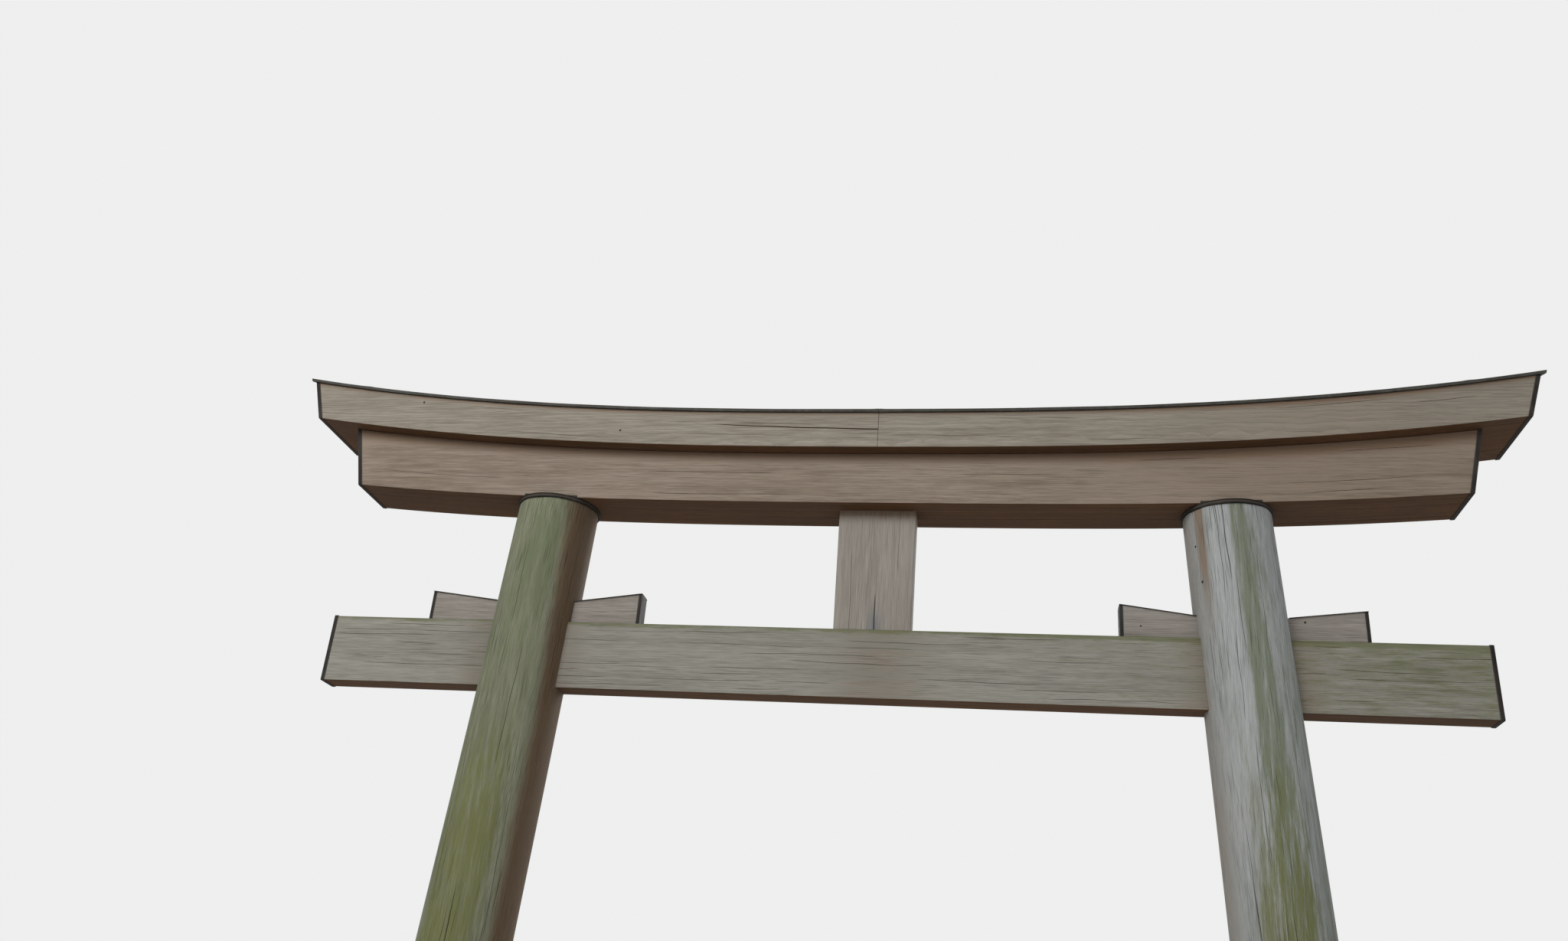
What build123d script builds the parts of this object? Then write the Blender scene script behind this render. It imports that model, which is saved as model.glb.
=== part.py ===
from build123d import *
import os

# A torii gate of unpainted cypress with its end grain and its top covered in sheet copper.
# Millimetres. The origin is on the ground midway between the pillars, +X runs along the
# lintels to the right as seen from the front, +Y runs through the gate to the back, +Z is up.

# Pillars: round, tapered, and leaning towards each other at the top.
pillar_spacing = 4400        # between the pillar axes at the pillar heads
pillar_lean = 0.0574         # how far an axis comes inwards for each millimetre of height
pillar_head_radius = 272.5
pillar_taper = 0.0053        # growth of the radius for each millimetre downwards

# Feet: a low rounded base stone and a copper band round the foot of the wood.
stone_radius = 430
stone_height = 150
stone_edge_height = 55       # plain upright rim below the rounded shoulder
stone_top_radius = 350
foot_band_height = 380

# Tie beam, one timber that passes through a mortise in each pillar.
passage_height = 3706        # ground to the underside of the tie beam
tie_beam_height = 444
tie_beam_thickness = 168
tie_beam_half_length = 3626

# Wedges driven in over the tie beam from both sides of each pillar, higher at the outer end.
wedge_thickness = 118
wedge_entry = 190            # length inside the pillar
outer_wedge_length = 440     # from the pillar's face to the wedge's end
outer_wedge_height = 199     # at the wedge's end
outer_wedge_slope = 0.116
inner_wedge_length = 448
inner_wedge_height = 211
inner_wedge_slope = 0.140

# Strut between the tie beam and the lower lintel, a plain board a little wider at the top.
strut_height = 813
strut_foot_width = 490
strut_head_width = 502
strut_thickness = 155

# Discs between the pillar heads and the lower lintel, clad in copper, with a flashing strip
# that stands up against each face of the lintel.
disc_radius = 280
disc_thickness = 30
flashing_height = 16

# Lower lintel: a front and a back timber side by side, swept up to the ends.
lower_lintel_height = 354
lower_lintel_depth = 409
front_timber_share = 0.333   # of the depth, where the seam runs along the underside
lower_sweep = 113            # rise of the underside at sweep_reach from the centre
lower_sweep_power = 3.0
lower_rake = 0.230           # how far the ends lean outwards for each millimetre of height

# Upper lintel: two timbers scarfed at the centre, with a low gabled top.
upper_lintel_depth = 610
upper_face_height = 254
upper_sweep = 186
eave_sweep = 204
upper_sweep_power = 2.64
upper_half_length = 3969     # along the underside
lintel_step = 360            # how far it passes the lower lintel at each end
upper_rake = 0.300
gable_rise = 104
scarf_lap = 420

# Roof boards wrapped in copper on the two slopes of the upper lintel, and a ridge cover.
roof_board_thickness = 22
eave_overhang = 14
end_overhang = 28
ridge_cover_width = 150
ridge_cover_thickness = 6

# Sheet copper.
sheet = 3
end_flange = 25              # return of an end cap on to the faces of its lintel
beam_flange = 22
wedge_flange = 18
wedge_cover_overhang = 10
fit_gap = 0.3

# The sweep values hold at this distance from the centre, and the lines are drawn to line_reach.
sweep_reach = 3740
line_reach = upper_half_length + 450
sweep_stations = 13

tie_beam_top = passage_height + tie_beam_height
lower_level = tie_beam_top + strut_height
upper_level = lower_level + lower_lintel_height
ridge_level = upper_level + upper_face_height + gable_rise
lower_half_length = upper_half_length - lintel_step
roof_slope = gable_rise / (upper_lintel_depth / 2)


def rise(x, sweep, power):
    """Height that a swept line has gained at x: flat in the middle, steeper to the ends."""
    return sweep * abs(x / sweep_reach) ** power


def swept_line(level, sweep, power):
    """The curve of a lintel edge in the XZ plane, through stations of the sweep formula."""
    last = sweep_stations - 1
    xs = [line_reach * (2 * i / last - 1) for i in range(sweep_stations)]
    return Spline(*[(x, level + rise(x, sweep, power)) for x in xs])


def level_line(level):
    """A straight level line as long as the swept ones."""
    return Line((-line_reach, level), (line_reach, level))


def elevation_face(low, high, y=0):
    """The area between two lines, upright in the XZ plane at y."""
    sides = [Line(low @ 0, high @ 0), Line(low @ 1, high @ 1)]
    return Plane.XZ.offset(-y) * make_face([low, high] + sides)


def slab_between(low, high, front, back):
    """The solid between two lines, from y = front to y = back."""
    return extrude(elevation_face(low, high, front), amount=back - front, dir=(0, 1, 0))


def between_ends(half_length, level, rake):
    """Everything between two end planes that lean outwards, half_length apart at level."""
    tall = 2 * lower_lintel_height + 2 * upper_face_height + 4 * gable_rise
    deep = 2 * upper_lintel_depth
    low, high = half_length - rake * tall, half_length + rake * tall
    outline = Polyline((-low, level - tall), (low, level - tall), (high, level + tall),
                       (-high, level + tall), close=True)
    return extrude(Plane.XZ * make_face(outline), amount=deep, both=True)


def pillar_x(z):
    """Distance of a pillar's axis from the centre at height z."""
    return pillar_spacing / 2 + pillar_lean * (head_level - z)


def pillar_radius(z):
    return pillar_head_radius + pillar_taper * (head_level - z)


head_level = (lower_level + rise(pillar_spacing / 2, lower_sweep, lower_sweep_power)
              - disc_thickness)

# The lines that neighbouring pieces share, so that they seat on each other.
disc_seat = swept_line(lower_level - disc_thickness, lower_sweep, lower_sweep_power)
lower_under = swept_line(lower_level, lower_sweep, lower_sweep_power)
upper_under = swept_line(upper_level, upper_sweep, upper_sweep_power)


def leaning_cone(z_low, z_high, grow=0.0, radius=None):
    """The right pillar's round form between two heights, or a plain round of a given radius."""
    axis = Vector(-pillar_lean, 0, 1)
    start = Plane(origin=(pillar_x(z_low), 0, z_low), x_dir=(1, 0, pillar_lean), z_dir=axis)
    low = radius or pillar_radius(z_low) + grow
    high = radius or pillar_radius(z_high) + grow
    length = (z_high - z_low) * axis.length
    if low == high:
        return Solid.make_cylinder(low, length, start)
    return Solid.make_cone(low, high, length, start)


def left_of(piece):
    """The left one of a pair is the right one mirrored in the plane x = 0."""
    return mirror(piece, about=Plane.YZ)


def base_stone():
    """A round stone with an upright rim and a swelling shoulder up to a flat top."""
    shoulder = stone_height - stone_edge_height
    profile = make_face([
        Line((0, 0), (stone_radius, 0)),
        Line((stone_radius, 0), (stone_radius, stone_edge_height)),
        EllipticalCenterArc((stone_top_radius, stone_edge_height),
                            stone_radius - stone_top_radius, shoulder, arc_size=90),
        Line((stone_top_radius, stone_height), (0, stone_height)),
        Line((0, stone_height), (0, 0))])
    stone = revolve(Plane.XZ * profile, Axis.Z)
    return Pos(pillar_x(stone_height), 0, 0) * stone


def foot_band():
    """Copper band round the pillar's foot, standing on the stone."""
    low, high = stone_height, stone_height + foot_band_height
    around = leaning_cone(low - foot_band_height, high, grow=sheet)
    inside = leaning_cone(low - 2 * foot_band_height, high + foot_band_height)
    above_stone = slab_between(level_line(low), level_line(high + foot_band_height),
                               -upper_lintel_depth, upper_lintel_depth)
    return (around - inside) & above_stone


def wedge_outline(side):
    """Outline of a wedge over the tie beam: side 1 is the outer one, side -1 the inner one."""
    length = outer_wedge_length if side > 0 else inner_wedge_length
    end_height = outer_wedge_height if side > 0 else inner_wedge_height
    slope = outer_wedge_slope if side > 0 else inner_wedge_slope
    face = pillar_x(tie_beam_top) + side * pillar_radius(tie_beam_top)
    end, tip = face + side * length, face - side * wedge_entry
    tip_height = end_height - slope * (length + wedge_entry)
    return end, tip, end_height, tip_height


def wedge(side):
    end, tip, end_height, tip_height = wedge_outline(side)
    outline = Polyline((tip, tie_beam_top), (end, tie_beam_top),
                       (end, tie_beam_top + end_height), (tip, tie_beam_top + tip_height),
                       close=True)
    return extrude(Plane.XZ * make_face(outline), amount=wedge_thickness / 2, both=True)


def wedge_cap(side):
    """Copper on a wedge: a sheet along the sloping top that overhangs the faces, and a box
    over the end grain returned on to the faces."""
    end, tip, end_height, tip_height = wedge_outline(side)
    slope = (end_height - tip_height) / abs(end - tip)
    outside = end + side * sheet
    outside_height = end_height + slope * sheet
    top = Polyline((tip, tie_beam_top + tip_height),
                   (outside, tie_beam_top + outside_height),
                   (outside, tie_beam_top + outside_height + sheet),
                   (tip, tie_beam_top + tip_height + sheet), close=True)
    half_width = wedge_thickness / 2 + wedge_cover_overhang
    cover = extrude(Plane.XZ * make_face(top), amount=half_width, both=True)
    back = end - side * wedge_flange
    back_height = end_height - slope * wedge_flange
    box = Polyline((back, tie_beam_top), (outside, tie_beam_top),
                   (outside, tie_beam_top + outside_height),
                   (back, tie_beam_top + back_height), close=True)
    end_box = extrude(Plane.XZ * make_face(box), amount=wedge_thickness / 2 + sheet, both=True)
    clear_of_pillar = leaning_cone(passage_height, lower_level, grow=fit_gap)
    return cover + (end_box - wedge(side)) - clear_of_pillar


def tie_beam():
    return Pos(0, 0, passage_height + tie_beam_height / 2) * Box(
        2 * tie_beam_half_length, tie_beam_thickness, tie_beam_height)


def tie_beam_cap():
    """Copper box over the right end of the tie beam, returned on to all four faces."""
    length = beam_flange + sheet
    middle = tie_beam_half_length - beam_flange + length / 2
    box = Pos(middle, 0, passage_height + tie_beam_height / 2) * Box(
        length, tie_beam_thickness + 2 * sheet, tie_beam_height + 2 * sheet)
    return box - tie_beam()


def pillar():
    """Leaning tapered log, level at the foot, cut to the disc at the head, with a mortise
    for the tie beam and a sloping pocket above it for each wedge."""
    log = leaning_cone(0, lower_level + lower_sweep)
    length = slab_between(level_line(stone_height), disc_seat,
                          -upper_lintel_depth, upper_lintel_depth)
    return (log & length) - tie_beam() - wedge(1) - wedge(-1)


def strut():
    low, high = strut_foot_width / 2, strut_head_width / 2
    outline = Polyline((-low, tie_beam_top), (low, tie_beam_top), (high, lower_level),
                       (-high, lower_level), close=True)
    return extrude(Plane.XZ * make_face(outline), amount=strut_thickness / 2, both=True)


def disc():
    """Round disc on the pillar's head, as thick all over, with a flashing strip that stands
    on it against the front and the back face of the lower lintel."""
    round_form = leaning_cone(lower_level - disc_thickness - lower_sweep,
                              lower_level + lower_lintel_height, radius=disc_radius)
    plate = round_form & slab_between(disc_seat, lower_under, -disc_radius, disc_radius)
    strip_top = swept_line(lower_level + flashing_height, lower_sweep, lower_sweep_power)
    face = lower_lintel_depth / 2
    strips = (slab_between(lower_under, strip_top, -face - sheet, -face)
              + slab_between(lower_under, strip_top, face, face + sheet))
    return plate + (round_form & strips)


def lower_ends(shift=0.0):
    level = lower_level + rise(lower_half_length, lower_sweep, lower_sweep_power)
    return between_ends(lower_half_length + shift, level, lower_rake)


def lower_lintel():
    """The front and the back timber of the lower lintel, which meet at the seam."""
    half = lower_lintel_depth / 2
    seam = -half + front_timber_share * lower_lintel_depth
    front = slab_between(lower_under, upper_under, -half, seam) & lower_ends()
    back = slab_between(lower_under, upper_under, seam, half) & lower_ends()
    return front, back


def lower_caps(timbers):
    """Copper box over both raked ends of the lower lintel, open above, where the upper
    lintel covers it."""
    half = lower_lintel_depth / 2 + sheet
    under = swept_line(lower_level - sheet, lower_sweep, lower_sweep_power)
    grown = slab_between(under, upper_under, -half, half)
    caps = (grown & lower_ends(sheet)) - lower_ends(-end_flange)
    for timber in timbers:
        caps = caps - timber
    return sorted(caps.solids(), key=lambda cap: cap.center().X)


def upper_ends(shift=0.0):
    level = upper_level + rise(upper_half_length, upper_sweep, upper_sweep_power)
    return between_ends(upper_half_length + shift, level, upper_rake)


def slope_line(y, lift=0.0):
    """The line of the gable's slope at y, lifted by the sheets and boards that lie on it."""
    return swept_line(ridge_level - roof_slope * abs(y) + lift, eave_sweep, upper_sweep_power)


def gabled(under, half_depth, lift=0.0):
    """A solid with a ridge along y = 0 and two even slopes, lifted above the lintel's own
    gable. under gives the line of its underside at y."""
    faces = [elevation_face(under(y), slope_line(y, lift), y)
             for y in (-half_depth, 0, half_depth)]
    return loft(faces, ruled=True)


def upper_lintel():
    """The left and right timbers, halved together over scarf_lap behind a plain front seam."""
    whole = gabled(lambda y: upper_under, upper_lintel_depth / 2) & upper_ends()
    tall = 4 * upper_lintel_depth
    right_front = Pos(line_reach / 2, -upper_lintel_depth / 2, upper_level) * Box(
        line_reach, upper_lintel_depth, tall)
    right_back = Pos(scarf_lap + line_reach / 2, upper_lintel_depth / 2, upper_level) * Box(
        line_reach, upper_lintel_depth, tall)
    right = (whole & right_front) + (whole & right_back)
    return whole - right_front - right_back, right


def upper_caps(timbers):
    """Copper over both raked ends of the upper lintel, returned on to its faces and its
    underside, and closed above by the roof boards."""
    under = swept_line(upper_level - sheet, upper_sweep, upper_sweep_power)
    grown = gabled(lambda y: under, upper_lintel_depth / 2 + sheet)
    caps = (grown & upper_ends(sheet)) - upper_ends(-end_flange)
    for timber in timbers:
        caps = caps - timber
    return sorted(caps.solids(), key=lambda cap: cap.center().X)


def roof_boards():
    """Copper-wrapped boards on the two slopes, past the eaves and past the ends, in left and
    right lengths that meet at the centre."""
    skin = gabled(slope_line, upper_lintel_depth / 2 + eave_overhang, roof_board_thickness)
    skin = skin & upper_ends(end_overhang)
    half = Box(line_reach, 2 * upper_lintel_depth, 2 * ridge_level)
    pieces = {}
    for depth_name, y in (("front", -1), ("back", 1)):
        for side_name, x in (("left", -1), ("right", 1)):
            quarter = Pos(x * line_reach / 2, y * upper_lintel_depth, ridge_level) * half
            pieces[f"roof_{depth_name}_{side_name}"] = skin & quarter
    return pieces


def ridge_covers():
    """Folded copper over the joint of the roof boards, in a left and a right length."""
    skin = gabled(lambda y: slope_line(y, roof_board_thickness), ridge_cover_width / 2,
                  roof_board_thickness + ridge_cover_thickness)
    skin = skin & upper_ends(end_overhang)
    half = Pos(line_reach / 2, 0, ridge_level) * Box(
        line_reach, 2 * upper_lintel_depth, 2 * ridge_level)
    return skin - half, skin & half


pieces = {}
for name, make in (("base_stone", base_stone), ("foot_band", foot_band), ("pillar", pillar),
                   ("disc", disc), ("tie_beam_cap", tie_beam_cap),
                   ("outer_wedge", lambda: wedge(1)), ("inner_wedge", lambda: wedge(-1)),
                   ("outer_wedge_cap", lambda: wedge_cap(1)),
                   ("inner_wedge_cap", lambda: wedge_cap(-1))):
    pieces[f"right_{name}"] = make()
    pieces[f"left_{name}"] = left_of(pieces[f"right_{name}"])

pieces["tie_beam"] = tie_beam()
pieces["strut"] = strut()
lower_timbers = lower_lintel()
pieces["lower_lintel_front"], pieces["lower_lintel_back"] = lower_timbers
pieces["lower_cap_left"], pieces["lower_cap_right"] = lower_caps(lower_timbers)
upper_timbers = upper_lintel()
pieces["upper_lintel_left"], pieces["upper_lintel_right"] = upper_timbers
pieces["upper_cap_left"], pieces["upper_cap_right"] = upper_caps(upper_timbers)
pieces.update(roof_boards())
pieces["ridge_cover_left"], pieces["ridge_cover_right"] = ridge_covers()

os.makedirs("parts", exist_ok=True)
for name, piece in pieces.items():
    export_step(piece, f"parts/{name}.step")
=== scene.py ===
import math
from collections import namedtuple

import bpy
import numpy as np
from mathutils import Matrix, Vector


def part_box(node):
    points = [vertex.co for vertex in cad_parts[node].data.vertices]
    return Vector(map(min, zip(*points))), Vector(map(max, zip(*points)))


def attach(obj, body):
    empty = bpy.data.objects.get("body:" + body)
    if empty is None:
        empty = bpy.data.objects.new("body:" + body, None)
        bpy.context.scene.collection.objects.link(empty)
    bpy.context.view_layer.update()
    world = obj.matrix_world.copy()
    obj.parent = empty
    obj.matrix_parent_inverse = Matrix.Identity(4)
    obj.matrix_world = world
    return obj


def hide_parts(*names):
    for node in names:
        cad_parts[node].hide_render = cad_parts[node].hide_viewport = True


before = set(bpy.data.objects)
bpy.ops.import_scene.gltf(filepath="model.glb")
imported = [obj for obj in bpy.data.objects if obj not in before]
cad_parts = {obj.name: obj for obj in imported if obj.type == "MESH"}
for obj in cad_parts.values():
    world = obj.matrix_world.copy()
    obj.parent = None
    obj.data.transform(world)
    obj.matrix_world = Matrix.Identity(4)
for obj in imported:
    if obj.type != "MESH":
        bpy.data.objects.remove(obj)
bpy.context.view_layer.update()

# A torii gate of weathered cypress with dark sheet copper over its end grain and its top.
# Metres, in the gate's own frame: x along the lintels, y through the gate, z up.

# Lines of the lintels. Each runs level at the centre and rises towards the ends by
# sweep * (|x| / SWEEP_REACH) ** power.
SWEEP_REACH = 3.740
LOWER_SWEEP, LOWER_POWER = 0.113, 3.0
UPPER_SWEEP, EAVE_SWEEP, UPPER_POWER = 0.186, 0.204, 2.64
LOWER_HALF_LENGTH, LOWER_RAKE = 3.609, 0.230
UPPER_HALF_LENGTH, UPPER_RAKE = 3.969, 0.300
LOWER_HEIGHT, LOWER_DEPTH = 0.354, 0.409
UPPER_HEIGHT, UPPER_DEPTH, GABLE_RISE = 0.254, 0.610, 0.104
GABLE_FALL = GABLE_RISE / (UPPER_DEPTH / 2)
ROOF_THICKNESS, EAVE_OVERHANG, END_OVERHANG = 0.022, 0.014, 0.028
RIDGE_HALF_WIDTH, RIDGE_THICKNESS = 0.075, 0.006

# Pillars.
PILLAR_SPACING, PILLAR_LEAN = 4.400, 0.0574
HEAD_RADIUS, TAPER = 0.2725, 0.0053
DISC_RADIUS, DISC_THICKNESS, FLASHING_HEIGHT = 0.280, 0.030, 0.016
BAND_HEIGHT = 0.380

SHEET = 0.003           # how far the copper stands off the wood
EASE = 0.006            # rounding of the timbers' arrises
END_FLANGE, BEAM_FLANGE, WEDGE_FLANGE = 0.025, 0.022, 0.018
WEDGE_SLOPES = {"outer": 0.116, "inner": 0.140}
WEDGE_COVER_OVERHANG = 0.010

tie_low, tie_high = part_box("tie_beam")
strut_low, strut_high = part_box("strut")
stone_low, stone_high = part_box("right_base_stone")
LOWER_LEVEL = strut_high.z
UPPER_LEVEL = LOWER_LEVEL + LOWER_HEIGHT
EAVE_LEVEL = UPPER_LEVEL + UPPER_HEIGHT
TIE_HEIGHT = tie_high.z - tie_low.z


# Places along the gate

def swept(level, sweep, power):
    """A swept line's height as a function of x."""
    def height(x):
        """The line's height at x."""
        return level + sweep * np.abs(x / SWEEP_REACH) ** power
    return height


def between_lines(low_line, high_line, height, half_length, rake):
    """A function that sets (u, h) into x and z: h is a height over the low line, scaled to the
    gap between the two lines up to height and added on above it, and u = 1 is the raked end
    plane, moved out by past. The plane leans with height, so its x is found in a few rounds."""
    def place(u, h, past=0.0):
        """x and z of (u, h)."""
        share = np.clip(h / height, -0.2, 1.0)
        over = h - share * height
        end = half_length
        for _ in range(6):
            z_end = (1 - share) * low_line(end) + share * high_line(end) + over
            end = half_length + past + rake * (z_end - low_line(half_length))
        x = u * end
        return x, (1 - share) * low_line(x) + share * high_line(x) + over
    return place


lower_line = swept(LOWER_LEVEL, LOWER_SWEEP, LOWER_POWER)
upper_line = swept(UPPER_LEVEL, UPPER_SWEEP, UPPER_POWER)
eave_line = swept(EAVE_LEVEL, EAVE_SWEEP, UPPER_POWER)
lower_place = between_lines(lower_line, upper_line, LOWER_HEIGHT, LOWER_HALF_LENGTH, LOWER_RAKE)
upper_place = between_lines(upper_line, eave_line, UPPER_HEIGHT, UPPER_HALF_LENGTH, UPPER_RAKE)
HEAD_LEVEL = float(lower_line(PILLAR_SPACING / 2)) - DISC_THICKNESS


def tie_place(u, h, past=0.0):
    """(u, h) into x and z on the level tie beam, in the way of between_lines."""
    return u * (tie_high.x + past), tie_low.z + h


def pillar_axis(z):
    """Distance of a pillar's axis from the gate's middle at a height."""
    return PILLAR_SPACING / 2 + PILLAR_LEAN * (HEAD_LEVEL - z)


def pillar_radius(z):
    """Radius of a pillar at a height."""
    return HEAD_RADIUS + TAPER * (HEAD_LEVEL - z)


def fade(distance, reach):
    """1 at no distance, down to 0 at reach, along a smooth curve."""
    share = np.clip(1 - distance / reach, 0, 1)
    return share * share * (3 - 2 * share)


# Outlines and the checks cut into them

Form = namedtuple("Form", "points normals side place")
Check = namedtuple("Check", "side line start end width depth slope")
# Check: a groove along the grain on one side of a form, line metres from the side's first
# corner, from start to end along the timber, that drifts by slope across the grain.

CLUSTER = np.array([-2.2, -1.2, -0.5, 0, 0.5, 1.2, 2.2])   # points across a check, in widths
DRIFT_REACH = 0.030     # how far beside a check its drift still moves the grid
SWELL = 0.0006          # undulation of a planed face after years of weather


def squared(low_y, high_y, height):
    """Corners of a squared timber, starting at the front of its underside: the sides are
    underside, back, top and front."""
    return [(low_y, 0), (high_y, 0), (high_y, height), (low_y, height)]


def gabled():
    """Corners of the upper lintel: upright faces below a low gable."""
    half = UPPER_DEPTH / 2
    return [(-half, 0), (half, 0), (half, UPPER_HEIGHT), (0, UPPER_HEIGHT + GABLE_RISE),
            (-half, UPPER_HEIGHT)]


def with_clusters(even, checks, side):
    """Even divisions of a side with the close points of its checks put in."""
    for line, width in sorted({(c.line, c.width) for c in checks if c.side == side}):
        even = even[np.abs(even - line) > 3 * width]
        even = np.concatenate([even, line + width * CLUSTER])
    return np.sort(even)


def outline(corners, spacing, ease, checks=()):
    """A closed polygon, anticlockwise, as points with rounded corners: each corner becomes an
    arc of its own ease, and each side is divided at its own spacing, closer at its checks.
    The form's place is the distance from the side's first corner."""
    corners = np.array(corners, float)
    count = len(corners)
    spacing, ease = np.broadcast_to(spacing, count), np.broadcast_to(ease, count)
    ahead = np.roll(corners, -1, axis=0) - corners
    reach = np.linalg.norm(ahead, axis=1)
    ahead /= reach[:, None]
    behind = np.roll(ahead, 1, axis=0)
    turn = np.arctan2(behind[:, 0] * ahead[:, 1] - behind[:, 1] * ahead[:, 0],
                      np.einsum("ij,ij->i", behind, ahead))
    inset = ease * np.tan(turn / 2)
    parts = []
    for i in range(count):
        angles = math.atan2(behind[i, 1], behind[i, 0]) - math.pi / 2 + np.linspace(0, turn[i], 4)
        arc = np.stack([np.cos(angles), np.sin(angles)], 1)
        parts.append((corners[i] - behind[i] * inset[i] + ease[i] * (arc - arc[0]), arc,
                      np.full(4, -1), np.zeros(4)))
        last = reach[i] - inset[(i + 1) % count]
        even = np.linspace(inset[i], last, max(1, round((last - inset[i]) / spacing[i])) + 1)
        along = with_clusters(even[1:-1], checks, i)
        parts.append((corners[i] + ahead[i] * along[:, None],
                      np.repeat([[ahead[i, 1], -ahead[i, 0]]], len(along), axis=0),
                      np.full(len(along), i), along))
    return Form(*(np.concatenate(part) for part in zip(*parts)))


def carve(form, along, checks, rng, sway=0.0012):
    """Shift along the form, depth and darkness of its checks at each station along the grain.
    A check drifts along a straight slope with two slow waves, the longer one sway high, and the
    grid drifts with it. Its depth is a half ellipse along its length times a bell across it."""
    shift = np.zeros((len(along), len(form.place)))
    depth, dark = np.zeros_like(shift), np.zeros_like(shift)
    for check in checks:
        off = np.where(form.side == check.side, form.place - check.line, 9.0)[None, :]
        middle, half = (check.start + check.end) / 2, (check.end - check.start) / 2
        core = 3 * check.width
        beside = np.clip((DRIFT_REACH - np.abs(off)) / (DRIFT_REACH - core), 0, 1)
        drift = check.slope * np.clip(along - middle, -half, half) \
            + sway * (np.sin(along * 6.3 + rng.uniform(0, 6))
                      + 0.5 * np.sin(along * 17 + rng.uniform(0, 6)))
        inside = np.clip(1 - ((along - middle) / half) ** 2, 0, 1) ** 0.5
        bell = np.exp(-(off / check.width) ** 2)
        shift += beside * drift
        depth = np.maximum(depth, check.depth * inside * bell)
        dark = np.maximum(dark, np.clip(1.5 * inside, 0, 1) * bell)
    return shift, depth, dark


def scattered_checks(rng, side, lines, reach, each, length, width, depth):
    """Checks at random places: each of the given lines holds a few, one after another."""
    made = []
    for line in lines:
        for middle in np.sort(rng.uniform(*reach, each)):
            half = rng.uniform(*length) / 2
            made.append(Check(side, line, middle - half, middle + half, width,
                              rng.uniform(*depth), rng.uniform(-0.010, 0.010)))
    return made


def waves(rng, along, across, reach, grain, octaves=5):
    """Smooth random relief between about -1 and 1: a sum of sine waves whose lengths halve from
    reach, stretched grain times along the first parameter."""
    total = np.zeros(np.broadcast(along, across).shape)
    for k in range(octaves):
        length = reach / 2 ** k
        for _ in range(3):
            a, b, phase = rng.uniform(-1, 1), rng.uniform(-1, 1), rng.uniform(0, 2 * math.pi)
            total += np.sin(2 * math.pi * (a * along / (grain * length) + b * across / length)
                            + phase) / 2 ** k
    return total / 4


def weathered(form, along, checks, rng, swell_reach, swell_grain, joint=0.0):
    """The outline's two coordinates at stations along the grain, and how dark its checks are.
    Checks, the low undulation left by plane and weather, and the open groove of a joint at the
    first station all push the surface inwards."""
    shift, depth, dark = carve(form, along, checks, rng)
    depth = depth + SWELL * (1 + waves(rng, along, form.place[None, :], swell_reach, swell_grain))
    if joint:
        opening = np.clip(1 - along / joint, 0, 1)
        depth, dark = depth + 1.5 * joint * opening, np.maximum(dark, opening)
    (first, second), (first_normal, second_normal) = form.points.T, form.normals.T
    return (first - first_normal * depth - second_normal * shift,
            second - second_normal * depth + first_normal * shift, dark)


# Meshes

def mesh_object(name, points, faces):
    """A smooth mesh of the given points and faces, in the scene."""
    mesh = bpy.data.meshes.new(name)
    mesh.from_pydata(points.reshape(-1, 3).tolist(), [], faces)
    mesh.shade_smooth()
    made = bpy.data.objects.new(name, mesh)
    bpy.context.scene.collection.objects.link(made)
    return made


def surface(name, place, layers=None, round_columns=True, capped=True, smooth_angle=35):
    """A mesh from a grid of x, y and z, rows by columns, as quads between neighbours. Each row
    closes on itself if round_columns, and capped closes the first and last row with a polygon.
    Faces are turned outwards by the sign of the volume that they enclose. layers gives the
    mesh's attributes by name, as values on the same grid."""
    points = np.stack(np.broadcast_arrays(*place), -1)
    rows, columns = points.shape[:2]
    index = np.arange(rows * columns).reshape(rows, columns)
    if round_columns:
        index = np.hstack([index, index[:, :1]])
    quads = np.stack([index[:-1, :-1], index[1:, :-1], index[1:, 1:], index[:-1, 1:]], -1)
    quads = quads.reshape(-1, 4)
    corner = points.reshape(-1, 3)[quads]
    volume = sum(np.einsum("ij,ij->i", corner[:, 0], np.cross(corner[:, k], corner[:, k + 1])).sum()
                 for k in (1, 2))
    faces = quads.tolist()
    if capped:
        faces += [index[0, :columns].tolist(), index[rows - 1, :columns][::-1].tolist()]
    if volume < 0:
        faces = [face[::-1] for face in faces]
    made = mesh_object(name, points, faces)
    for layer, values in (layers or {}).items():
        values = np.broadcast_to(values, (rows, columns)).astype(np.float32)
        made.data.attributes.new(layer, "FLOAT", "POINT").data.foreach_set("value", values.ravel())
    made.data.set_sharp_from_angle(angle=math.radians(smooth_angle))
    return made


def joined(name, parts):
    """Several surfaces as one piece."""
    with bpy.context.temp_override(active_object=parts[0], selected_editable_objects=parts):
        bpy.ops.object.join()
    parts[0].name = name
    return parts[0]


def finish_piece(piece, material, node):
    """Gives a piece its material, its body and the CAD node it stands for."""
    piece.data.materials.clear()
    piece.data.materials.append(material)
    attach(piece, "root")
    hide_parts(node)


# Materials

def colour(code):
    """An sRGB hex colour as linear red, green and blue with full alpha."""
    srgb = [int(code[i:i + 2], 16) / 255 for i in (0, 2, 4)]
    return [c / 12.92 if c <= 0.04045 else ((c + 0.055) / 1.055) ** 2.4 for c in srgb] + [1.0]


def feed(tree, node, inputs):
    """Sets a node's inputs, by name or number, to numbers, hex colours or other nodes' outputs."""
    for key, value in inputs.items():
        if isinstance(value, bpy.types.NodeSocket):
            tree.links.new(value, node.inputs[key])
        else:
            node.inputs[key].default_value = colour(value) if isinstance(value, str) else value


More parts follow.
